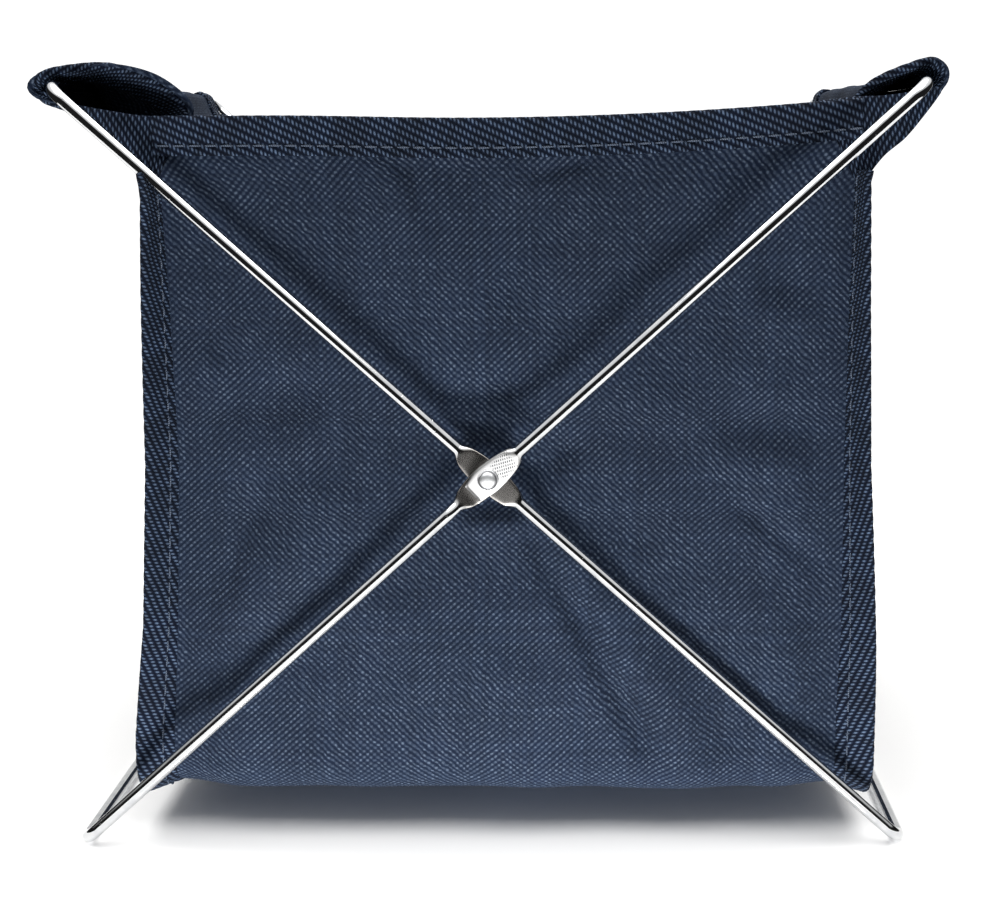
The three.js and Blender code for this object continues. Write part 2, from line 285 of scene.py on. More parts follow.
def yarn_tone(g, index, spread, seed):
    """A brightness of its own for each yarn."""
    picked = g.node(
        "ShaderNodeTexWhiteNoise", {"W": g.plus(index, seed)}, noise_dimensions="1D"
    ).outputs["Value"]
    return g.times_plus(picked, spread, 1 - spread / 2)


def oxford(name, pitch, painted_gap_shade, light, painted_highlight, depth):
    """Plain-weave cloth. Each yarn rises over one and dips under the next, which makes a chequer of raised
    and sunken dots, painted light and dark by their height, whose slanting rows show more one way here and
    the other way there. The low places between yarns are painted with shade and the highest crests with a
    painted highlight.
    pitch is the yarns' spacing both ways and depth the relief, both in millimetres."""
    g = Graph(name)
    x, y, _ = g.split(g.coordinates("UV"))
    place = g.coordinates("Object")
    sway = g.times(g.minus(g.noise(place, 70.0, 2.0), 0.5), 0.5)
    wander = g.times(g.minus(g.noise(place, 380.0, 2.0), 0.5), 1.1)
    u = g.plus(g.plus(g.math("DIVIDE", x, pitch[0]), sway), wander)
    v = g.minus(g.plus(g.math("DIVIDE", y, pitch[1]), sway), wander)
    column, row = g.math("FLOOR", u), g.math("FLOOR", v)
    rising = g.math("COSINE", g.times(g.plus(u, v), PI))
    falling = g.math("COSINE", g.times(g.minus(u, v), PI))
    share = g.between(g.noise(place, 45.0, 1.0), 0.35, 0.65, 0.28, 0.80)
    chequer = g.minus(g.times(falling, share), g.times(rising, g.minus(1.0, share)))
    gaps_u = g.size(g.sine(g.times(u, PI)))
    gaps_v = g.size(g.sine(g.times(v, PI)))
    yarns = g.between(g.times(gaps_u, gaps_v), 0.0, 0.5, 0.72, 1.0)
    height = g.times(g.times_plus(chequer, 0.5, 0.5), yarns)
    fibre = g.noise(place, 5200.0, 2.0, 0.7)
    height = g.times_plus(g.minus(fibre, 0.5), 0.34, height)
    cell = g.times_plus(column, 57.31, g.times(row, 13.77))
    spark = yarn_tone(g, cell, 1.6, 5.0)
    tone = g.times(yarn_tone(g, column, 0.16, 3.0), yarn_tone(g, row, 0.16, 911.0))
    cloud = g.between(g.noise(place, 28.0, 4.0, 0.6), 0.3, 0.7, 0.92, 1.08)
    tone = g.times(tone, cloud)
    # Painted shade: the yarns darken towards the low places between them.
    colour = g.mix(g.between(height, 0.12, 0.80), painted_gap_shade, light)
    # Painted highlight: the highest crests are lightened, more on some yarns than others.
    glint = g.times(g.between(height, 0.62, 1.0), g.between(spark, 0.5, 1.8))
    colour = g.mix(glint, colour, painted_highlight)
    g.set_input("Base Color", g.shade(colour, tone))
    g.set_input("Roughness", g.between(height, 0.2, 1.0, 0.95, 0.62))
    g.set_input("Specular IOR Level", 0.11)
    g.set_input("Sheen Weight", 0.015)
    g.set_input("Sheen Roughness", 0.45)
    g.bump(height, depth)
    return g.material


def webbing(name, painted_float_shade, body, painted_highlight, depth):
    """Binding tape: slanting rows (r) of short raised floats (c). Its colour is painted darker between the
    floats as painted shade, and lighter on their tops as a painted highlight.
    """
    g = Graph(name)
    x, y, _ = g.split(g.coordinates("UV"))
    place = g.coordinates("Object")
    sway = g.times(g.minus(g.noise(place, 120.0, 2.0), 0.5), 0.3)
    r = g.times_plus(x, TAPE_ROWS[0], g.times(y, TAPE_ROWS[1]))
    c = g.times_plus(x, TAPE_FLOATS[0], g.times(y, TAPE_FLOATS[1]))
    r, c = g.plus(r, sway), g.plus(c, sway)
    ridge = g.size(g.sine(g.times(r, PI)))
    c = g.times_plus(g.math("FRACT", r), 0.7, c)
    beads = g.size(g.sine(g.times(c, PI)))
    height = g.times(ridge, g.times_plus(beads, 0.85, 0.15))
    fibre = g.noise(place, 4200.0, 2.0, 0.7)
    height = g.times_plus(g.minus(fibre, 0.5), 0.3, height)
    row, bead = g.math("FLOOR", r), g.math("FLOOR", c)
    tone = g.times(yarn_tone(g, row, 0.2, 17.0), yarn_tone(g, bead, 0.5, 401.0))
    tone = g.times(tone, g.between(g.noise(place, 40.0, 3.0), 0.3, 0.7, 0.9, 1.1))
    # Painted shade in the hollows between floats, and a painted highlight on their tops.
    colour = g.mix(g.between(height, 0.20, 0.65), painted_float_shade, body)
    colour = g.mix(g.between(height, 0.58, 0.95), colour, painted_highlight)
    g.set_input("Base Color", g.shade(colour, tone))
    g.set_input("Roughness", g.between(height, 0.2, 1.0, 0.9, 0.5))
    g.set_input("Specular IOR Level", 0.10)
    g.set_input("Sheen Weight", 0.008)
    g.set_input("Sheen Roughness", 0.4)
    g.bump(height, depth)
    return g.material


def thread_material():
    """Twisted sewing thread, painted darker in the grooves of its twist as painted shade and lighter on its
    strands.
    """
    g = Graph("sewing_thread")
    x, y, _ = g.split(g.coordinates("UV"))
    twist = g.sine(g.times_plus(x, 11.0, g.times(y, 6.0)))
    # Painted shade in the twist's grooves, and lighter where its strands stand out.
    colour = g.mix(g.between(twist, -1.0, 1.0), (0.008, 0.014, 0.028, 1), (0.045, 0.066, 0.105, 1))
    g.set_input("Base Color", colour)
    g.set_input("Roughness", g.between(twist, -1.0, 1.0, 0.75, 0.45))
    g.bump(twist, 0.04)
    return g.material


def chrome_material(name, gloss, wire=False):
    """Bright plated steel with small pits and a faint haze. gloss is its lowest and highest roughness.
    A wire's pressed flats are duller, and its ends outside a crossing are satin and cross-hatched
    beside the rivet. A rivet's groove round its dome is painted dark, as painted shade."""
    g = Graph(name)
    place = g.coordinates("Object")
    haze = g.noise(place, 240.0, 4.0, 0.6)
    pits = g.noise(place, 900.0, 1.0, 0.5)
    pit = g.between(pits, 0.74, 0.80)
    tint = g.mix(g.between(haze, 0.3, 0.7), (0.55, 0.56, 0.575, 1), (0.66, 0.665, 0.67, 1))
    height = g.times(pit, -1.0)
    roughness = g.between(haze, 0.2, 0.8, *gloss)
    x, y, z = g.split(place)
    up = g.minus(z, PIVOT_Z * MM)
    beside = g.math("SQRT", g.plus(g.times(x, x), g.times(up, up)))
    if wire:
        pressed = g.between(beside, 0.0112, 0.0090)
        tint = g.mix(pressed, tint, (0.27, 0.26, 0.25, 1))
        roughness = g.math("MAXIMUM", roughness, g.times(pressed, 0.27))
        x = g.times(x, g.minus(0.0, g.math("SIGN", y)))
        along = g.times_plus(x, math.sin(LEG_TILT), g.times(z, math.cos(LEG_TILT)))
        along = g.minus(along, PIVOT_Z * MM * math.cos(LEG_TILT))
        across = g.times_plus(x, math.cos(LEG_TILT), g.times(z, -math.sin(LEG_TILT)))
        across = g.plus(across, PIVOT_Z * MM * math.sin(LEG_TILT))
        outer = g.between(g.size(y), 0.1020, 0.1024)
        satin = g.times(g.between(along, 0.0108, 0.0096), g.between(along, -0.0064, -0.0062))
        satin = g.times(satin, outer)
        patch = g.times(g.between(along, 0.0028, 0.0036), g.between(along, 0.0092, 0.0084))
        patch = g.times(patch, g.between(g.size(across), 0.0030, 0.0024))
        patch = g.times(patch, outer)
        lines = g.sine(g.times(g.plus(along, g.times(across, 0.7)), 9000.0))
        cuts = g.sine(g.times(g.minus(across, g.times(along, 0.5)), 6200.0))
        dash = g.times(g.between(lines, 0.2, 0.7), g.between(cuts, -0.5, 0.1))
        dash = g.times(dash, patch)
        height = g.minus(height, g.times(dash, 3.0))
        tint = g.mix(satin, tint, (0.37, 0.37, 0.37, 1))
        tint = g.mix(dash, tint, (0.04, 0.04, 0.045, 1))
        roughness = g.math("MAXIMUM", roughness, g.times(satin, 0.45))
    else:
        # Painted shade: a dark ring over the groove round the rivet's dome.
        painted_groove_shade = g.times(g.between(beside, 0.00205, 0.0023), g.between(beside, 0.0027, 0.0025))
        tint = g.mix(painted_groove_shade, tint, (0.14, 0.14, 0.145, 1))
    g.set_input("Base Color", tint)
    g.set_input("Metallic", 1.0)
    g.set_input("Roughness", roughness)
    g.bump(height, 0.02)
    return g.material


NAVY_CLOTH = oxford(
    "navy_oxford", (0.92, 0.985), (0.0035, 0.0072, 0.0175, 1), (0.0188, 0.0285, 0.0490, 1),
    (0.054, 0.073, 0.106, 1), 0.16
)
NAVY_TAPE = webbing(
    "navy_binding", (0.0008, 0.0024, 0.0075, 1), (0.0068, 0.0125, 0.0265, 1), (0.050, 0.073, 0.115, 1), 0.28
)
THREAD = thread_material()
CHROME = chrome_material("chromed_wire", (0.03, 0.09), wire=True)
SATIN = chrome_material("satin_rivet", (0.38, 0.50))


# --- The wire frame -----------------------------------------------------------

WIRE_SIDES = 32
TURNED_SIDES = 48


def wire_loop(name, material):
    """One loop, from its upper cut end over the top rail, down the unbroken rear leg, under
    the bottom rail and back up to its lower cut end. The wire is pressed flat at the rivets."""
    up = np.array([math.sin(LEG_TILT), 0, math.cos(LEG_TILT)])
    normal = np.array([math.cos(LEG_TILT), 0, -math.sin(LEG_TILT)])
    deep = np.array([0.0, 1.0, 0.0])
    pivot = np.array([0, 0, PIVOT_Z])
    rings = []

    def ring(centre, across, half_across, half_normal, power, tilt=0.0):
        """The wire's section. A pressed flat leans by tilt, about the leg."""
        turn = (np.arange(WIRE_SIDES) + 0.5) * 2 * PI / WIRE_SIDES
        a = np.sign(np.cos(turn)) * np.abs(np.cos(turn)) ** power
        b = np.sign(np.sin(turn)) * np.abs(np.sin(turn)) ** power
        wide = normal * math.cos(tilt) + deep * math.sin(tilt)
        thin = across * math.cos(tilt) - normal * math.sin(tilt) * across[1]
        rings.append(centre + np.outer(a * half_across, thin) + np.outer(b * half_normal, wide))

    def leg(along, wire_face, flat_face, inward, run_out, cut=False, tilt=0.0):
        """A station beside the rivet: a leaf-shaped flat that runs out into the round wire or
        ends in a straight cut. The faces are the outer ones of the wire and of the flat."""
        beside = abs(along)
        pressed = 1.0 if cut else 1 - float(smooth(7.6, 10.8, beside))
        half_across = lerp(WIRE_RADIUS, FLAT_THICKNESS / 2, pressed)
        face = flat_face if cut else lerp(wire_face, flat_face, 1 - float(smooth(*run_out, beside)))
        leaf = max(0.0, 1 - (beside / FLAT_REACH) ** 2) ** 0.75
        half_normal = lerp(WIRE_RADIUS, FLAT_HALF, leaf)
        if cut:
            half_normal = lerp(FLAT_HALF, CUT_HALF, (beside / CUT_REACH) ** 1.6)
        centre = pivot + up * along
        centre[1] = -inward[1] * (face - half_across)
        ring(centre, inward, half_across, half_normal, lerp(1.0, 0.30, pressed), tilt * pressed)

    def bend(along, corner_y, arriving, leaving):
        middle = pivot + up * along
        middle[1] = corner_y
        middle = middle - arriving * BEND_RADIUS + leaving * BEND_RADIUS
        for step in np.linspace(0, PI / 2, 13):
            outward = -leaving * math.cos(step) + arriving * math.sin(step)
            ring(middle + outward * BEND_RADIUS, -outward, WIRE_RADIUS, WIRE_RADIUS, 1.0)

    beside = np.concatenate([np.linspace(0, 5, 6), np.linspace(5.6, 15, 24)])
    past = np.linspace(CUT_REACH, 0.6, 7)
    inner_wire, outer_wire = INNER_LEG + WIRE_RADIUS, OUTER_LEG + WIRE_RADIUS
    half = FLAT_THICKNESS / 2
    lean = math.radians(7)
    upper_face = UPPER_END_FLAT + half + SPRING
    for along in -past:
        leg(along, outer_wire, upper_face, deep, RUN_OUT, True, lean)
    for along in beside:
        leg(along, outer_wire, upper_face, deep, RUN_OUT, False, lean)
    bend(LEG_HALF, -OUTER_LEG, up, deep)
    bend(LEG_HALF, INNER_LEG, deep, -up)
    for along in np.concatenate([beside[::-1], -beside[1:]]):
        leg(along, inner_wire, INNER_FLAT + half, -deep, RUN_OUT)
    bend(-LEG_HALF, INNER_LEG, -up, -deep)
    bend(-LEG_HALF, -OUTER_LEG, -deep, up)
    for along in -beside[::-1]:
        leg(along, outer_wire, LOWER_END_FLAT + half, deep, LOWER_RUN_OUT)
    for along in past[::-1]:
        leg(along, outer_wire, LOWER_END_FLAT + half, deep, LOWER_RUN_OUT, True)
    points = np.array(rings)
    return surface(name, points, material, grid_uv(points, tube=True), tube=True)


def lathe(name, profile, facing, material):
    """A piece turned about the Y axis through the pivots, from (radius, distance from the middle)."""
    turn = np.arange(TURNED_SIDES) * 2 * PI / TURNED_SIDES
    radius, reach = np.array(profile, float).T
    points = np.stack(
        [
            np.outer(radius, np.cos(turn)),
            np.outer(facing * reach, np.ones(TURNED_SIDES)),
            PIVOT_Z + np.outer(radius, np.sin(turn)),
        ],
        axis=2,
    )
    return surface(name, points, material, grid_uv(points, tube=True), tube=True)


def rivet(name, facing):
    """A domed head with a grooved rim, a shank and a set tail, as (radius, distance) pairs."""
    face = UPPER_END_FLAT + FLAT_THICKNESS / 2
    back = INNER_FLAT - FLAT_THICKNESS / 2
    dome = [(0.03, 1.53), (0.4, 1.525), (0.9, 1.50), (1.5, 1.38), (1.95, 1.12), (2.15, 0.86)]
    rim = [(2.25, 0.66), (2.36, 0.60), (2.50, 0.66), (2.66, 0.70), (2.82, 0.62), (2.90, 0.45), (2.90, 0.05)]
    tail = [(2.3, 0.05), (2.5, 0.3), (2.4, 0.75), (1.9, 1.0), (0.4, 1.05), (0.03, 1.05)]
    profile = [(radius, face + rise) for radius, rise in dome + rim]
    profile += [(1.5, face), (1.5, back)]
    profile += [(radius, back - drop) for radius, drop in tail]
    return lathe(name, profile, facing, SATIN)


loop_a = wire_loop("loop_a_wire", CHROME)
loop_b = wire_loop("loop_b_wire", CHROME)
loop_b.data.transform(Matrix.Rotation(PI, 4, "Z"))
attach(loop_a, "loop_a")
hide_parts("wire_loop_a")
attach(loop_b, "loop_b")
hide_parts("wire_loop_b")
for node, facing in (("front_rivet", -1), ("rear_rivet", 1)):
    head = rivet(node + "_domed", facing)
    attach(head, "pivots")
    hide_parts(node)


# --- The bag's seams ----------------------------------------------------------


def seam_x(side, z):
    """Where a side wall's seam runs: side is -1 for the left, 1 for the right."""
    if side < 0:
        heights = [12, 29, 62, 107, 150, 177, 190]
        return np.interp(z, heights, [-90.2, -90.0, -87.4, -85.3, -86.0, -87.0, -87.4])
    return np.interp(z, [12, 36, 58, 107, 150, 181, 190], [96.0, 96.2, 96.8, 96.2, 96.4, 97.0, 97.2])


def hem_top(x):
    """Height of the front wall's upper edge, which hangs a little between the rails."""
    x = np.asarray(x, float)
    return HEM_Z + 0.8 * smooth(5, 58, -x) + 3.6 * np.clip((x + 5) / 90, 0, 2) ** 2


def strip_profile(count):
    """The body strip's line in Y and Z, down the front, under and up the rear, and its angle below
    the way out: 0 on the front wall, a quarter turn under the bottom."""
    low = FLOOR_Z + FOLD_RADIUS
    straight = HEM_Z - low
    arc = FOLD_RADIUS * PI / 2
    under = 2 * (WALL_Y - FOLD_RADIUS)
    total = 2 * (straight + arc) + under
    rows = []
    for s in np.linspace(0, total, count):
        t = min(s, total - s)
        if t <= straight:
            y, z, angle = -WALL_Y, HEM_Z - t, 0.0
        elif t <= straight + arc:
            angle = (t - straight) / FOLD_RADIUS
            y = -WALL_Y + FOLD_RADIUS * (1 - math.cos(angle))
            z = low - FOLD_RADIUS * math.sin(angle)
        else:
            y, z, angle = -WALL_Y + FOLD_RADIUS + (t - straight - arc), FLOOR_Z, PI / 2
        rows.append((y, z, angle) if s <= total / 2 else (-y, z, PI - angle))
    return np.array(rows), total


def waves(x, y, count, length, seed):
    """Soft random relief of about unit size from long sine waves in many directions."""
    rng = np.random.default_rng(seed)
    total = np.zeros_like(x)
    for _ in range(count):
        turn = rng.uniform(0, 2 * PI)
        pitch = length * rng.uniform(0.7, 1.6)
        phase = rng.uniform(0, 2 * PI)
        total += np.sin(2 * PI * (x * math.cos(turn) + y * math.sin(turn)) / pitch + phase)
    return total / math.sqrt(count / 2)


def line_frame(x, z, start, end):
    """How far points lie beside a line (positive to its left), and a fade towards both its ends."""
    a, b = np.array(start, float), np.array(end, float)
    d = b - a
    long = np.hypot(*d)
    t = ((x - a[0]) * d[0] + (z - a[1]) * d[1]) / long**2
    off = ((x - a[0]) * -d[1] + (z - a[1]) * d[0]) / long
    return off, smooth(-0.15, 0.2, t) * smooth(1.15, 0.75, t)


def crease(x, z, start, end, width, depth):
    """A soft valley (depth under 0) or ridge along a line."""
    off, fade = line_frame(x, z, start, end)
    return depth * fade * np.exp(-((off / width) ** 2))


def shelf(x, z, start, end, width, depth):
    """Cloth that steps out on the right of a line and falls back on its left."""
    off, fade = line_frame(x, z, start, end)
    return -depth * fade * (off / width) * np.exp(0.5 - 0.5 * (off / width) ** 2)


def hump(x, z, middle, width, rise, height):
    return height * np.exp(-(((x - middle[0]) / width) ** 2) - (((z - middle[1]) / rise) ** 2))


# The front wall's folds: lines and middles in X and Z, then widths and depths. The depths of
# creases and shelves are multiplied by these.
CREASE_SHARE = 1.3
SHELF_SHARE = 1.25
CREASES = [
    ((-23, 188), (-14, 167), 2.6, -1.3), ((-30, 186), (-20, 160), 5.0, 0.9),
    ((27, 187), (10, 182), 2.6, -1.1),
    ((17, 184), (3, 140), 5.5, -1.1), ((-9, 166), (0, 128), 8.0, 1.3), ((12, 166), (6, 128), 8.0, 1.0),
    ((6, 162), (1, 134), 2.6, -0.9), ((9, 101), (24, 112), 3.4, -2.0), ((9, 90), (27, 60), 4.0, -2.0),
    ((23, 66), (46, 20), 4.2, -3.2), ((16, 88), (52, 34), 6.0, 1.5), ((-40, 100), (-72, 60), 8.5, 2.2),
    ((-72, 74), (-62, 98), 3.4, -1.0), ((67, 95), (92, 76), 3.4, -1.7), ((-78, 176), (-24, 120), 9.0, 0.8),
    ((86, 176), (26, 120), 9.0, 0.8), ((28, 91), (48, 84), 5.0, -0.9), ((-12, 66), (-8, 30), 5.0, -0.7),
]
SHELVES = [
    ((-12, 121), (13, 118), 3.2, 1.5), ((-8, 92), (12, 93), 3.0, 1.3), ((60, 113), (88, 110), 6.0, 1.3),
    ((-72, 119), (-44, 116), 7.5, 1.5), ((70, 152), (92, 146), 5.0, 1.0), ((-80, 140), (-66, 128), 4.0, 0.9),
]
HUMPS = [
    ((5, 44), 50, 24, 3.2), ((29, 32), 9, 9, -2.6), ((67, 33), 9, 9, -2.2), ((52, 36), 7, 10, 1.9),
    ((84, 92), 8, 9, 1.4), ((81, 56), 8, 10, 1.7), ((84, 32), 4, 6, -1.3), ((55, 124), 20, 12, 1.5),
    ((0, 110), 15, 12, -1.6), ((-64, 40), 14, 12, 0.9),
]


def wall_relief(x, z, seed, folded):
    """How far the front or rear wall's cloth stands out of its plane. It leans back from the
    frame above the crossing and fills out against it below; folded is the share of the folds."""
    lean = lerp(3.4, -1.4, smooth(52, 160, z))
    folds = 0
    for start, end, width, depth in CREASES:
        folds += CREASE_SHARE * crease(x, z, start, end, width, depth)
    for start, end, width, depth in SHELVES:
        folds += SHELF_SHARE * shelf(x, z, start, end, width, depth)
    for middle, width, rise, height in HUMPS:
        folds += hump(x, z, middle, width, rise, height)
    small = 0.50 * waves(x, z, 7, 46, seed) + 0.24 * waves(x, z, 9, 21, seed + 1)
    return lean + folded * folds + small


def body_points(columns=112, rows=330):
    profile, total = strip_profile(rows)
    across = np.linspace(0, 1, columns)
    points = np.zeros((rows, columns, 3))
    for r, (y, z, angle) in enumerate(profile):
        flare = FLARE * float(smooth(174, 190, z))
        left, right = float(seam_x(-1, z)) - 0.8 - flare, float(seam_x(1, z)) + 0.8 + flare
        x = lerp(left, right, across)
        inside = np.clip(np.minimum(across, 1 - across) * 9, 0, 1)
        edge = inside * inside * (3 - 2 * inside)
        front = y < 0
        steep = abs(math.cos(angle))
        seen_x, seed, folded = (x, 11, 1.0) if front else (6 - x, 23, 0.6)
        wall = wall_relief(seen_x, np.full(columns, z), seed, folded)
        rise = (hem_top(x) - HEM_Z) * np.clip((z - 120) / 78, 0, 1) ** 2
        fixed = float(smooth(196, 183, z))
        floor = 1.5 * waves(x, np.full(columns, y), 6, 60, 5) * 0.35
        floor += 1.6 * np.cos(PI * (x - 3) / 190) * math.cos(PI * y / 190)
        out = edge * (wall * steep * fixed + floor * (1 - steep))
        points[r, :, 0] = x
        points[r, :, 1] = y - math.cos(angle) * out
        points[r, :, 2] = z + rise - math.sin(angle) * out
    return points, total


body_grid, body_length = body_points()
body = surface("bag_body_cloth", body_grid, NAVY_CLOTH, grid_uv(body_grid))
thicken(body, CLOTH)

# --- Side walls and their sleeves ---------------------------------------------


# A sleeve's line in X and Z, from the wall out under the rail, round it, over and back in:
# at the open front edge, at the neck behind the tape, and further back, where it lies close.
SLEEVES = {
    -1: {
        "mouth": [
            (-89.6, 185.6), (-98.0, 192.6), (-105.6, 198.6), (-112.6, 202.0), (-117.8, 203.2),
            (-120.4, 206.0), (-117.8, 209.0), (-109.0, 211.0), (-98.0, 212.0), (-88.0, 209.6),
            (-81.0, 204.8), (-77.6, 200.2), (-79.6, 195.0), (-83.6, 189.6), (-87.6, 185.8),
        ],
        "neck": [
            (-90.0, 183.6), (-99.0, 190.8), (-107.5, 197.8), (-112.8, 202.6), (-115.2, 205.8),
            (-113.6, 208.6), (-108.5, 208.6), (-101.0, 207.2), (-94.0, 204.4), (-88.0, 200.8),
            (-85.5, 197.5), (-85.0, 193.0), (-87.0, 188.0), (-89.0, 184.0),
        ],
        "body": [
            (-99.6, 182.0), (-105.8, 191.0), (-112.4, 202.0), (-114.9, 205.4), (-113.2, 207.8),
            (-110.5, 206.9), (-108.6, 202.6), (-105.2, 197.0), (-101.6, 191.8), (-98.6, 188.0),
            (-97.4, 185.2), (-98.6, 182.4),
        ],
    },
    1: {
        "mouth": [
            (99.3, 183.6), (102.6, 188.4), (107.9, 192.8), (112.8, 198.0), (116.8, 202.9),
            (119.5, 206.6), (119.2, 210.0), (115.8, 212.0), (109.2, 210.2), (101.4, 207.0),
            (96.6, 203.4), (95.2, 200.2), (95.4, 194.0), (96.4, 188.0), (98.0, 184.0),
        ],
        "neck": [
            (98.6, 182.0), (104.0, 188.4), (109.5, 196.0), (113.0, 201.8), (115.2, 205.8),
            (113.8, 208.6), (109.8, 208.0), (104.5, 205.4), (100.5, 201.6), (98.6, 197.6),
            (97.8, 193.0), (97.9, 187.5), (98.2, 183.0),
        ],
        "body": [
            (103.4, 181.0), (107.6, 190.0), (112.7, 201.6), (114.9, 205.4), (113.2, 207.8),
            (110.5, 206.9), (109.2, 202.6), (106.8, 197.4), (104.4, 192.6), (102.6, 188.8),
            (101.6, 185.2), (102.4, 181.6),
        ],
    },
}


def sleeve_line(side, y, count):
    """The sleeve's line at y, and its outward directions."""
    shapes = {key: through(points, count) for key, points in SLEEVES[side].items()}
    neck_y = TAPE_WIDTH - SLEEVE_END
    line = lerp(shapes["body"], shapes["neck"], float(smooth(-58, neck_y, y)))
    line = lerp(line, shapes["mouth"], max(0.0, (neck_y - y) / TAPE_WIDTH))
    tangent = np.gradient(line, axis=0)
    tangent /= np.linalg.norm(tangent, axis=1)[:, None]
    return line, np.stack([tangent[:, 1], -tangent[:, 0]], axis=1) * side


# Where each side wall hangs low down, at its top in the middle, and at its top beside the seams
WALL_LOW_X = {-1: -88.6, 1: 95.6}
WALL_TOP_X = {-1: -99.6, 1: 103.4}
WALL_CORNER_X = {-1: -88.6, 1: 97.6}


def side_x(side, y, z):
    """Where a side wall's cloth hangs: at its seams it follows them, and between them it
    leans out towards the rail."""
    seam = float(seam_x(side, z))
    middle = lerp(WALL_LOW_X[side], WALL_TOP_X[side], float(smooth(70, 186, z)) ** 1.35)
    middle += side * 2.2 * math.sin(PI * min(max((z - 12) / 150, 0), 1))
    corner = lerp(seam, WALL_CORNER_X[side], float(smooth(165, 182, z)))
    inward = 1 - (abs(y) / 92) ** 2
    return lerp(corner, middle, max(0.0, inward) ** 0.8)


def side_points(side, columns=110, wall_rows=96, sleeve_rows=90):
    across = np.linspace(-1, 1, columns)
    rows = []
    low = FLOOR_Z + 0.2
    for z in np.linspace(low, SLEEVE_JOIN - (0 if side < 0 else 1), wall_rows):
        drop = max(0.0, low + FOLD_RADIUS - z)
        half = WALL_Y - FOLD_RADIUS + math.sqrt(max(0.0, FOLD_RADIUS**2 - drop**2))
        y = across * half
        edge = lerp(half, SLEEVE_END + CORNER_LAP, float(smooth(170, 182, z)))
        y = np.sign(y) * np.minimum(np.abs(y), edge)
        x = np.array([side_x(side, v, z) for v in y])
        inside = smooth(0, 0.22, 1 - np.abs(across))
        height = np.full(columns, z)
        relief = 1.0 * waves(y, height, 7, 52, 31 + side) + 0.30 * waves(y, height, 8, 22, 41)
        relief += 0.7 * np.sin(2 * PI * (y + 0.12 * z) / (33 + 3 * side)) * float(smooth(110, 172, z))
        x = x + side * inside * relief * float(smooth(12, 40, z))
        rows.append(np.stack([x, y, height], axis=1))
    sleeve = np.zeros((sleeve_rows, columns, 3))
    for c, u in enumerate(across):
        line, outward = sleeve_line(side, u * SLEEVE_END, sleeve_rows)
        t = np.linspace(0, 1, sleeve_rows)
        soft = 0.30 * waves(t * 100, np.full(sleeve_rows, u * SLEEVE_END), 6, 30, 51 + side)
        soft *= smooth(0.4, 0.55, t) * smooth(1.0, 0.85, t)
        line = line + outward * soft[:, None]
        sleeve[:, c, 0] = line[:, 0]
        sleeve[:, c, 1] = u * (SLEEVE_END + CORNER_LAP * smooth(0.12, 0.0, t))
        sleeve[:, c, 2] = line[:, 1]
    return np.concatenate([np.array(rows)[:-1], sleeve])


sides = {}
for side, hand in HANDS.items():
    grid = side_points(side)
    obj = surface(hand + "_side_cloth", grid, NAVY_CLOTH, grid_uv(grid))
    thicken(obj, CLOTH)
    sides[side] = obj


# --- Bindings -----------------------------------------------------------------


def folded_section(width, thickness, count):
    """The outline of a tape folded over an edge: (across, out) pairs from its inner edge on one
    face, round the fold at full width, to its inner edge on the other face, and closed."""
    half = thickness / 2
    flat = width - half
    perimeter = 2 * flat + PI * half + thickness
    pairs = []
    for s in np.linspace(0, perimeter, count, endpoint=False):
        if s < flat:
            pairs.append((s, half))
        elif s < flat + PI * half:
            turn = (s - flat) / half
            pairs.append((flat + half * math.sin(turn), half * math.cos(turn)))
        elif s < 2 * flat + PI * half:
            pairs.append((flat - (s - flat - PI * half), -half))
        else:
            pairs.append((0.0, -half + (s - 2 * flat - PI * half)))
    return np.array(pairs), perimeter


def ribs(u, v):
    """Relief of a tape's slanting rows."""
    return np.abs(np.sin(PI * (u * TAPE_ROWS[0] + v * TAPE_ROWS[1]))) - 0.6


def tape(name, place, length, width, thickness=TAPE_FOLD):
    """A folded tape swept along a path. place(s) gives its inner edge, the direction to its
    fold and the direction out of its face. Its stitches lie in a shallow groove."""
    count = max(8, int(length / TAPE_STEP))
    around = int((2 * width + 3) / TAPE_STEP)
    points = np.zeros((count, around, 3))
    uv = np.zeros((count, around + 1, 2))
    outline, perimeter = folded_section(width, thickness, around)
    v = np.linspace(0, perimeter, around, endpoint=False)
    middle = np.array([max(0.0, width - thickness / 2), 0.0])
    normal = np.where(outline[:, :1] > middle[0], outline - middle, np.stack([0 * v, outline[:, 1]], axis=1))
    normal = normal / np.maximum(np.linalg.norm(normal, axis=1), 1e-6)[:, None]
    for i, s in enumerate(np.linspace(0, length, count)):
        base, towards, out = place(s)
        swell = TAPE_RELIEF * ribs(np.full(around, s), v)
        swell *= smooth(0.0, 1.0, outline[:, 0])
        swell -= 0.22 * np.exp(-(((outline[:, 0] - 2.5) / 0.5) ** 2))
        pairs = outline + normal * swell[:, None]
        points[i] = base + np.outer(pairs[:, 0], towards) + np.outer(pairs[:, 1], out)
        uv[i, :, 0] = s
        uv[i, :around, 1], uv[i, around, 1] = v, perimeter
    return surface(name, points, NAVY_TAPE, uv, tube=True)


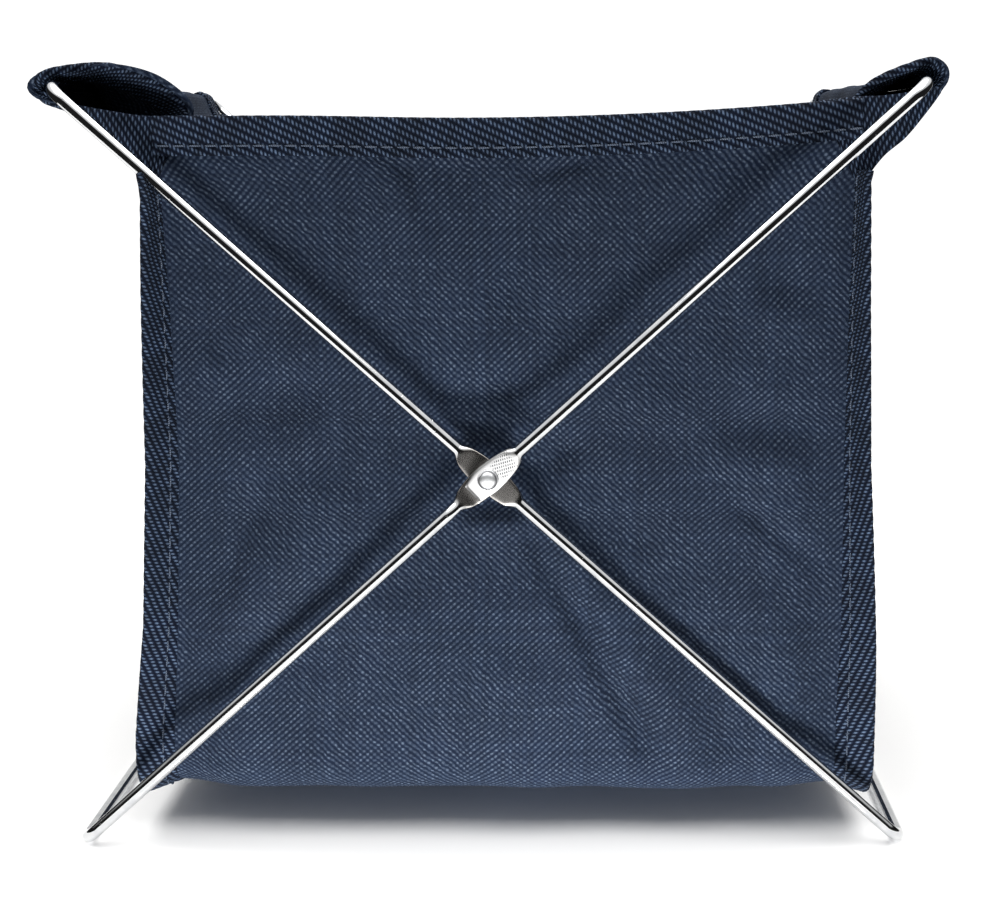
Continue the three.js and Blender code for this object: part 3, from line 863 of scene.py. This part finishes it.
def stitches(name, rows):
    """Rows of sewn thread. Each row is a function of distance that gives a point and its outward
    direction, and a length. Each stitch dips into the cloth at both ends."""
    vertices, faces, uvs = [], [], []
    sides = 6
    last = 5  # station along a stitch, counted from 0
    turn = np.arange(sides) * 2 * PI / sides
    for where, length in rows:
        for start in np.arange(STITCH_PITCH * 0.3, length - STITCH_LENGTH, STITCH_PITCH):
            base = len(vertices)
            stations = np.linspace(start, start + STITCH_LENGTH, last + 1)
            spots = [where(s) for s in stations]
            for k, (point, out) in enumerate(spots):
                ahead = spots[min(k + 1, last)][0] - spots[max(k - 1, 0)][0]
                ahead = ahead / np.linalg.norm(ahead)
                beside = np.cross(ahead, out)
                arch = math.sin(PI * k / last)
                lift = 0.30 * arch - 0.22
                fat = THREAD_SIZE / 2 * (0.55 + 0.45 * arch)
                for a in turn:
                    vertices.append(point + out * (lift + fat * math.sin(a)) + beside * fat * math.cos(a))
            for k in range(last):
                for j in range(sides):
                    j1 = (j + 1) % sides
                    near, far = base + k * sides, base + (k + 1) * sides
                    faces.append([near + j, far + j, far + j1, near + j1])
                    u0, u1 = stations[k], stations[k + 1]
                    v0, v1 = j * 0.22, j * 0.22 + 0.22
                    uvs += [(u0, v0), (u1, v0), (u1, v1), (u0, v1)]
            faces.append([base + j for j in range(sides)][::-1])
            faces.append([base + last * sides + j for j in range(sides)])
            uvs += [(0, 0)] * (2 * sides)
    return make(name, vertices, faces, uvs, THREAD)


def seam_path(side):
    """The seam down the front corner, under the bottom and up the rear corner, as points, with
    the directions to the tape's fold and out of its face."""
    profile, _ = strip_profile(420)
    keep = profile[:, 1] <= SLEEVE_JOIN + 2.5
    profile = profile[keep]
    points, towards, out = [], [], []
    for y, z, angle in profile:
        x = float(seam_x(side, z))
        normal = np.array([0, -math.cos(angle), -math.sin(angle)])
        outward = np.array([float(side), 0, 0])
        if side < 0:
            turn = np.interp(z, [14, 29, 62, 107, 150, 178, 186], [20, 26, 44, 50, 64, 80, 74])
        else:
            turn = np.interp(z, [14, 36, 58, 107, 150, 181, 186], [16, 24, 40, 62, 74, 84, 78])
        turn = math.radians(float(turn))
        points.append((x, y, z))
        towards.append(outward * math.cos(turn) + normal * math.sin(turn))
        out.append(normal * math.cos(turn) - outward * math.sin(turn))
    return np.array(points), np.array(towards), np.array(out)


def along(points, towards, out):
    """A place function for tape(), and the path's length."""
    run = lengths(points)

    def place(s):
        pick = [np.array([np.interp(s, run, row[:, k]) for k in range(3)]) for row in (points, towards, out)]
        return pick[0], pick[1] / np.linalg.norm(pick[1]), pick[2] / np.linalg.norm(pick[2])

    return place, run[-1]


pieces = {"bag": [body], "left": [sides[-1]], "right": [sides[1]]}

for side, hand in HANDS.items():
    place, length = along(*seam_path(side))
    binding = tape(hand + "_seam_binding", lambda s: (place(s)[0] - 0.9 * place(s)[1], *place(s)[1:]),
                   length, TAPE_WIDTH + 0.6)
    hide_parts(hand + "_seam_tape")
    pieces[hand].append(binding)

    def sewn(s, face=1.0):
        point, towards, out = place(s)
        return point + towards * 2.4 + out * face * (TAPE_FOLD / 2 + 0.1), out * face

    seam_rows = [(sewn, length), (lambda s: sewn(s, -1.0), length)]
    pieces[hand].append(stitches(hand + "_seam_stitches", seam_rows))

    # The taped ends of the sleeve
    for end, where in ENDS.items():
        count = 240
        edge, outward = sleeve_line(side, end * SLEEVE_END, count)
        back, _ = sleeve_line(side, end * (SLEEVE_END - TAPE_WIDTH), count)
        run = lengths(edge)

        def ring(s, end=end, run=run, edge=edge, back=back, outward=outward):
            p, q, o = ([np.interp(s, run, row[:, k]) for k in range(2)] for row in (edge, back, outward))
            head = np.array([q[0], end * (SLEEVE_END - TAPE_WIDTH), q[1]])
            tip = np.array([p[0], end * (SLEEVE_END + 0.3), p[1]])
            towards = (tip - head) / np.linalg.norm(tip - head)
            out = np.array([o[0], 0, o[1]])
            out = out - towards * out.dot(towards)
            return head, towards, out / np.linalg.norm(out)

        binding = tape(f"{hand}_{where}_sleeve_binding", ring, run[-1], TAPE_WIDTH + 0.9)
        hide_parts(f"{hand}_{where}_sleeve_tape")
        pieces[hand].append(binding)

        def held(s, ring=ring):
            head, towards, out = ring(s)
            return head + towards * 2.3 + out * (TAPE_FOLD / 2 + 0.1), out

        pieces[hand].append(stitches(f"{hand}_{where}_sleeve_stitches", [(held, run[-1])]))

# The corners where the front wall's upper edge runs out to the rail, covered by the tapes' ends
EARS = {
    -1: ([(-115.4, 203.8), (-110.5, 201.6), (-104.2, 196.4), (-97.0, 190.2), (-90.4, 184.4), (-87.4, 179.5)],
         [(-115.6, 204.2), (-109.5, 202.0), (-103.5, 200.7), (-97.1, 199.6), (-90.1, 198.6), (-80.0, 198.2)]),
    1: ([(117.6, 203.4), (114.4, 198.9), (109.0, 192.2), (103.6, 187.6), (99.6, 182.4), (97.6, 178.0)],
        [(117.8, 205.0), (112.5, 204.2), (107.5, 203.4), (102.0, 202.8), (96.0, 202.6), (86.0, 201.6)]),
}


def ear(side, end, count=90, around=70):
    """A flat closed piece between two curves, thick in Y, whose woven rows fan out with it."""
    low, high = (through(points, count) for points in EARS[side])
    points = np.zeros((count, around, 3))
    uv = np.zeros((count, around + 1, 2))
    run = lengths((low + high) / 2)
    for i in range(count):
        wide = max(1.2, float(np.linalg.norm(high[i] - low[i])))
        towards = (high[i] - low[i]) / np.linalg.norm(high[i] - low[i])
        pairs, perimeter = folded_section(wide, 1.5, around)
        v = np.linspace(0, perimeter, around, endpoint=False)
        swell = 0.14 * ribs(np.full(around, run[i]), v)
        depth = lerp(90.7, WALL_Y - 0.2, i / (count - 1))
        out = pairs[:, 1] * (1 + swell / 0.75)
        points[i, :, 0] = low[i, 0] + pairs[:, 0] * towards[0]
        points[i, :, 1] = end * (depth + out)
        points[i, :, 2] = low[i, 1] + pairs[:, 0] * towards[1]
        uv[i, :, 0] = run[i]
        uv[i, :around, 1], uv[i, around, 1] = v, perimeter
    name = f"{HANDS[side]}_{ENDS[end]}_corner_binding"
    return surface(name, points, NAVY_TAPE, uv, tube=True)


for side in (-1, 1):
    for end in (-1, 1):
        pieces[HANDS[side]].append(ear(side, end))

for end, where in ENDS.items():
    left, right = HEM_ENDS

    def hem(s, end=end):
        x = left + s
        top = float(hem_top(x)) + 1.0
        low = top - TAPE_WIDTH - 0.4
        spread = 0.35 * math.sin(s / 23.0) + 0.2 * math.sin(s / 9.0)
        return (np.array([x, end * (WALL_Y + 0.1 + 0.2 * spread), low]), np.array([0.0, 0, 1.0]),
                np.array([0.0, end, 0]))

    binding = tape(where + "_hem_binding", hem, right - left, TAPE_WIDTH + 0.4, TAPE_FOLD + 0.2)
    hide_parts(where + "_hem_tape")
    pieces["bag"].append(binding)

    def hemmed(s, hem=hem, face=1.0):
        point, towards, out = hem(s)
        return point + towards * 2.6 + out * face * (TAPE_FOLD / 2 + 0.2), out * face

    hem_rows = [(hemmed, right - left), (lambda s: hemmed(s, face=-1.0), right - left)]
    pieces["bag"].append(stitches(where + "_hem_stitches", hem_rows))

for key, members in pieces.items():
    for obj in members:
        if key == "bag":
            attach(obj, "bag")
        else:
            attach(obj, key + "_side")

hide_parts("body_panel")
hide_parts("left_side_panel")
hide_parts("right_side_panel")

# Each piece of the bag gets a mesh of its own.
for key, members in pieces.items():
    for obj in members:
        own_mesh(obj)


# --- Floor, light and camera --------------------------------------------------


FLOOR_RADIUS = 0.46
FLOOR_MIDDLE_Y = 0.08
FLOOR_SIDES = 96
CAMERA_PLACE = (23.74, -545.62, 192.72)  # in millimetres
CAMERA_YAW, CAMERA_PITCH, CAMERA_ROLL = -1.285, 10.33, -0.25  # in degrees


def floor():
    """A pale disc under the bin and a little behind it."""
    g = Graph("pale_floor")
    cloud = g.noise(g.coordinates("Object"), 3.0, 3.0)
    g.set_input("Base Color", g.mix(cloud, (0.95, 0.942, 0.93, 1), (0.97, 0.965, 0.955, 1)))
    g.set_input("Roughness", g.between(cloud, 0.3, 0.7, 0.55, 0.7))
    mesh = bpy.data.meshes.new("floor")
    turn = np.arange(FLOOR_SIDES) * 2 * PI / FLOOR_SIDES
    rim_x = FLOOR_RADIUS * np.cos(turn)
    rim_y = FLOOR_MIDDLE_Y + FLOOR_RADIUS * np.sin(turn)
    rim = np.stack([rim_x, rim_y, 0 * turn], axis=1)
    mesh.from_pydata(rim.tolist(), [], [list(range(FLOOR_SIDES))])
    mesh.materials.append(g.material)
    obj = into_scene("floor", mesh)
    return obj


def softbox(name, at, aim, width, height, power, through=None):
    """A soft rectangular light. It shines through one object, such as a translucent table."""
    light = bpy.data.lights.new(name, "AREA")
    light.shape = "RECTANGLE"
    light.size, light.size_y = width, height
    light.energy = power
    obj = into_scene(name, light)
    obj.location = at
    obj.rotation_euler = (Vector(aim) - Vector(at)).to_track_quat("-Z", "Y").to_euler()
    if through is not None:
        blockers = bpy.data.collections.new(name + "_blockers")
        blockers.objects.link(through)
        obj.light_linking.blocker_collection = blockers
        blockers.collection_objects[0].light_linking.link_state = "EXCLUDE"


def surroundings():
    """A bright ceiling over a dim room with a pale backdrop behind. The chrome sees the room's
    lower part as black, which gives it its dark lines, and the cloth is lit a little from there."""
    world = bpy.data.worlds.new("studio")
    bpy.context.scene.world = world
    world.use_nodes = True
    tree = world.node_tree
    tree.nodes.clear()
    add, join = tree.nodes.new, tree.links.new
    where = add("ShaderNodeTexCoord")
    split = add("ShaderNodeSeparateXYZ")
    join(where.outputs["Generated"], split.inputs[0])
    height = add("ShaderNodeMapRange")
    height.inputs["From Min"].default_value = -1
    join(split.outputs[2], height.inputs["Value"])

    def room(stops):
        """Brightness from straight down (0) to straight up (1)."""
        band = add("ShaderNodeValToRGB")
        join(height.outputs[0], band.inputs[0])
        ends = band.color_ramp.elements
        ends[0].position, ends[1].position = stops[0][0], stops[-1][0]
        ends[0].color, ends[1].color = ((value, value, value, 1) for value in (stops[0][1], stops[-1][1]))
        for position, value in stops[1:-1]:
            ends.new(position).color = (value, value, value, 1)
        return band.outputs[0]

    def either(ray, no, yes):
        mix = add("ShaderNodeMix")
        mix.data_type = "RGBA"
        join(seen.outputs[ray], mix.inputs[0])
        join(no, mix.inputs[6])
        if isinstance(yes, bpy.types.NodeSocket):
            join(yes, mix.inputs[7])
        else:
            mix.inputs[7].default_value = yes
        return mix.outputs[2]

    seen = add("ShaderNodeLightPath")
    lit = room([(0.0, 0.38), (0.64, 0.38), (0.72, 0.42), (1.0, 0.7)])
    mirrored = room([(0.0, 0.016), (0.655, 0.016), (0.72, 0.9), (1.0, 1.5)])
    backdrop = add("ShaderNodeMapRange")
    backdrop.interpolation_type = "SMOOTHSTEP"
    for key, value in (("From Min", 0.80), ("From Max", 0.92), ("To Min", 0.0), ("To Max", 0.8)):
        backdrop.inputs[key].default_value = value
    join(split.outputs[1], backdrop.inputs["Value"])
    lighter = add("ShaderNodeMix")
    lighter.data_type, lighter.blend_type = "RGBA", "LIGHTEN"
    lighter.inputs[0].default_value = 1.0
    join(mirrored, lighter.inputs[6])
    join(backdrop.outputs[0], lighter.inputs[7])
    mirrored = lighter.outputs[2]
    shown = either("Is Camera Ray", either("Is Glossy Ray", lit, mirrored), (1.15, 1.15, 1.15, 1))
    back = add("ShaderNodeBackground")
    join(shown, back.inputs[0])
    back.inputs[1].default_value = 1.0
    out = add("ShaderNodeOutputWorld")
    join(back.outputs[0], out.inputs[0])


def camera():
    data = bpy.data.cameras.new("camera")
    data.lens = 61.7
    data.sensor_width = 36.0
    data.shift_x = -0.04
    data.clip_start = 0.01
    obj = into_scene("camera", data)
    yaw, pitch, roll = math.radians(CAMERA_YAW), math.radians(CAMERA_PITCH), math.radians(CAMERA_ROLL)
    ahead = Vector((math.sin(yaw) * math.cos(pitch), math.cos(yaw) * math.cos(pitch), -math.sin(pitch)))
    right = Vector((math.cos(yaw), -math.sin(yaw), 0))
    up = right.cross(ahead)
    tilted_right = right * math.cos(roll) + up * math.sin(roll)
    tilted_up = up * math.cos(roll) - right * math.sin(roll)
    turn = Matrix((tilted_right, tilted_up, -ahead)).transposed().to_4x4()
    obj.matrix_world = Matrix.Translation(Vector(CAMERA_PLACE) * MM) @ turn
    bpy.context.scene.camera = obj


table = floor()
surroundings()
softbox("overhead", (0.0, -0.15, 1.1), (0, -0.05, 0), 1.5, 1.5, 25)
softbox("under_table", (0.0, -0.36, -0.20), (0, -0.09, 0.10), 0.12, 0.12, 3.3, through=table)
camera()
bpy.context.scene.view_settings.view_transform = "Standard"
